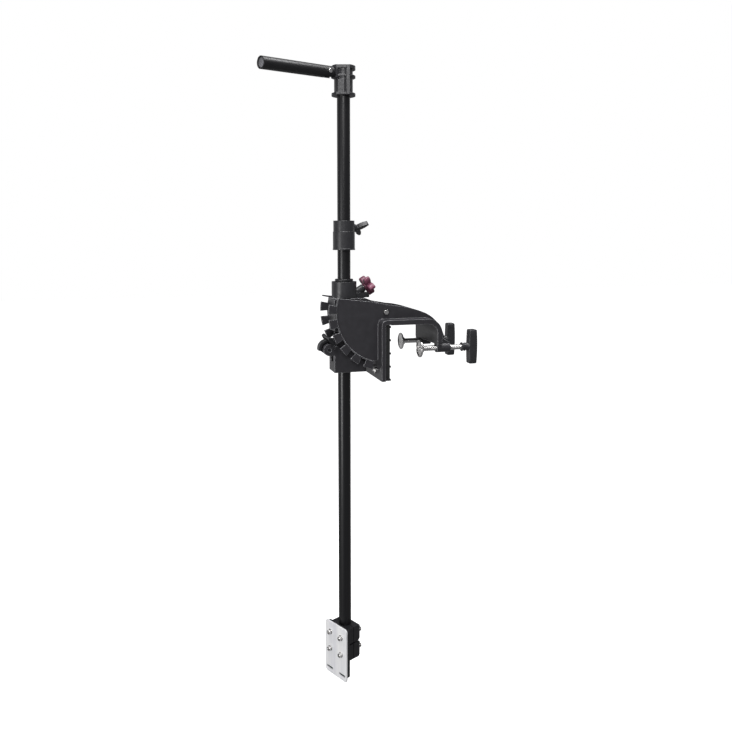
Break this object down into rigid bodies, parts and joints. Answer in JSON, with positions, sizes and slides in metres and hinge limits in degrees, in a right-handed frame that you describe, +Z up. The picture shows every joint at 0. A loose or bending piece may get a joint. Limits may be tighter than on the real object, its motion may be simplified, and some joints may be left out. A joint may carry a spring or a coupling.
{
  "type": "transom-clamp transducer pole",
  "caption": "Transom-clamped steerable pole with tilting notched bracket, depth collar, fold-down handle and a slotted plate for a sonar transducer.",
  "frame": {"origin": "mid-width of the underside of the bracket's saddle, half a millimetre inboard of the transom pad's ribs: the top outer corner of the boat's transom", "axes": "+Z up along the shaft, +X inboard from the transom pad towards the clamp screws, Y along the transom"},
  "size_m": [0.4888, 0.1881, 1.3743],
  "materials": {
    "black_steel": "black oxide",
    "brass": "machined",
    "burgundy": "satin moulding",
    "bush_nylon": "machined nylon",
    "casting_charcoal": "die casting, satin powder coat",
    "grip_black": "black anodised tube",
    "moulded_black": "satin moulding",
    "moulded_charcoal": "fine textured moulding",
    "pad_rubber": "matte ribbed rubber",
    "plate_silver": "brushed, clear anodised",
    "plug_grey": "moulded",
    "shaft_black": "black anodised tube",
    "spring_steel": "oiled",
    "zinc_steel": "bright zinc plate"
  },
  "bodies": {
    "bracket": {"clamp_bracket": "casting_charcoal", "transom_pad": "pad_rubber", "pad_screws": "zinc_steel", "pad_nuts": "zinc_steel", "pivot_bolt": "zinc_steel", "pivot_nut": "zinc_steel", "pivot_washers": "black_steel", "clamp_inserts": "black_steel"},
    "hinge_block": {"hinge_housing": "casting_charcoal", "pivot_bushes": "bush_nylon", "steering_cup": "moulded_charcoal", "cup_screws": "zinc_steel", "tension_insert": "brass", "lower_bush": "bush_nylon", "latch_pin": "black_steel", "latch_springs": "spring_steel", "tilt_stop_screw": "zinc_steel", "tilt_stop_nut": "zinc_steel"},
    "tension_shoe": {"tension_shoe": "brass"},
    "tension_knob": {"tension_stud": "zinc_steel", "tension_knob": "burgundy"},
    "latch_lever": {"latch_lever": "moulded_black"},
    "lock_yoke": {"lock_yoke": "black_steel"},
    "steering": {"steering_bush": "bush_nylon"},
    "pole": {"shaft_tube": "shaft_black", "top_plug": "moulded_black", "foot_plug": "moulded_black", "head_cap": "moulded_charcoal", "head_screw": "black_steel", "handle_tongue": "moulded_black", "upper_clamp_front": "moulded_black", "upper_clamp_rear": "moulded_black", "lower_clamp_front": "moulded_black", "lower_clamp_rear": "moulded_black", "backing_plate": "moulded_black", "transducer_plate": "plate_silver", "mount_screws": "zinc_steel", "mount_washers": "zinc_steel", "mount_nuts": "zinc_steel"},
    "handle": {"handle_tube": "grip_black", "handle_end_plug": "plug_grey", "handle_pivot_screw": "zinc_steel", "handle_pivot_nut": "zinc_steel"},
    "depth_collar": {"depth_collar": "moulded_charcoal", "collar_insert": "brass"},
    "wing_shoe": {"wing_shoe": "brass"},
    "wing_screw": {"wing_stud": "zinc_steel", "wing_knob": "moulded_black"},
    "near_disc": {"clamp_disc_near": "zinc_steel"},
    "near_screw": {"clamp_screw_near": "zinc_steel", "clamp_handle_near": "moulded_charcoal", "handle_pin_near": "zinc_steel"},
    "far_disc": {"clamp_disc_far": "zinc_steel"},
    "far_screw": {"clamp_screw_far": "zinc_steel", "clamp_handle_far": "moulded_charcoal", "handle_pin_far": "zinc_steel"}
  },
  "joints": [
    {"name": "tilt", "type": "hinge", "parent": "bracket", "child": "hinge_block", "pos_m": [-0.004, 0, 0.026], "axis": [0, 1, 0], "range_deg": [0, 90]},
    {"name": "tension_travel", "type": "slide", "parent": "hinge_block", "child": "tension_shoe", "axis": [0.8529, 0.1504, 0.5], "range_m": [0, 0.003]},
    {"name": "tension_turn", "type": "hinge", "parent": "tension_shoe", "child": "tension_knob", "pos_m": [-0.06968, 0.00323, 0.0607], "axis": [0.8529, 0.1504, 0.5], "range_deg": [0, 860]},
    {"name": "latch_lift", "type": "hinge", "parent": "hinge_block", "child": "latch_lever", "pos_m": [-0.12742, 0, -0.05569], "axis": [0, -1, 0], "range_deg": [0, 34]},
    {"name": "lock_travel", "type": "slide", "parent": "hinge_block", "child": "lock_yoke", "axis": [0.8339, 0, 0.5519], "range_m": [0, 0.0156]},
    {"name": "steer", "type": "hinge", "parent": "hinge_block", "child": "steering", "pos_m": [-0.088, 0, 0.098], "axis": [0, 0, 1], "continuous": true},
    {"name": "pole_depth", "type": "slide", "parent": "steering", "child": "pole", "axis": [0, 0, 1], "range_m": [-0.062, 0.55]},
    {"name": "handle_fold", "type": "hinge", "parent": "pole", "child": "handle", "pos_m": [-0.13041, -0.02161, 0.5373], "axis": [0.454, -0.891, 0], "range_deg": [-2.6, 70]},
    {"name": "collar_slide", "type": "slide", "parent": "pole", "child": "depth_collar", "axis": [0, 0, 1], "range_m": [0, 0.24]},
    {"name": "wing_travel", "type": "slide", "parent": "depth_collar", "child": "wing_shoe", "axis": [0.891, 0.454, 0], "range_m": [0, 0.003]},
    {"name": "wing_turn", "type": "hinge", "parent": "wing_shoe", "child": "wing_screw", "pos_m": [-0.0594, 0.01457, 0.21], "axis": [0.891, 0.454, 0], "range_deg": [0, 1350]},
    {"name": "near_disc_travel", "type": "slide", "parent": "bracket", "child": "near_disc", "axis": [1, 0, 0], "range_m": [-0.028, 0.028]},
    {"name": "near_screw_turn", "type": "hinge", "parent": "near_disc", "child": "near_screw", "pos_m": [0.1, -0.06, -0.0555], "axis": [1, 0, 0], "range_deg": [-5035, 5035]},
    {"name": "far_disc_travel", "type": "slide", "parent": "bracket", "child": "far_disc", "axis": [1, 0, 0], "range_m": [-0.025, 0.031]},
    {"name": "far_screw_turn", "type": "hinge", "parent": "far_disc", "child": "far_screw", "pos_m": [0.1, 0.06, -0.0555], "axis": [1, 0, 0], "range_deg": [-4495, 5575]}
  ],
  "couplings": [
    {"joint": "tension_travel", "follows": "tension_turn", "m_per_rad": 0.00019894},
    {"joint": "wing_travel", "follows": "wing_turn", "m_per_rad": 0.00012732},
    {"joint": "near_disc_travel", "follows": "near_screw_turn", "m_per_rad": 0.00031831},
    {"joint": "far_disc_travel", "follows": "far_screw_turn", "m_per_rad": 0.00031831},
    {"joint": "lock_travel", "follows": "latch_lift", "m_per_rad": 0.02612}
  ]
}
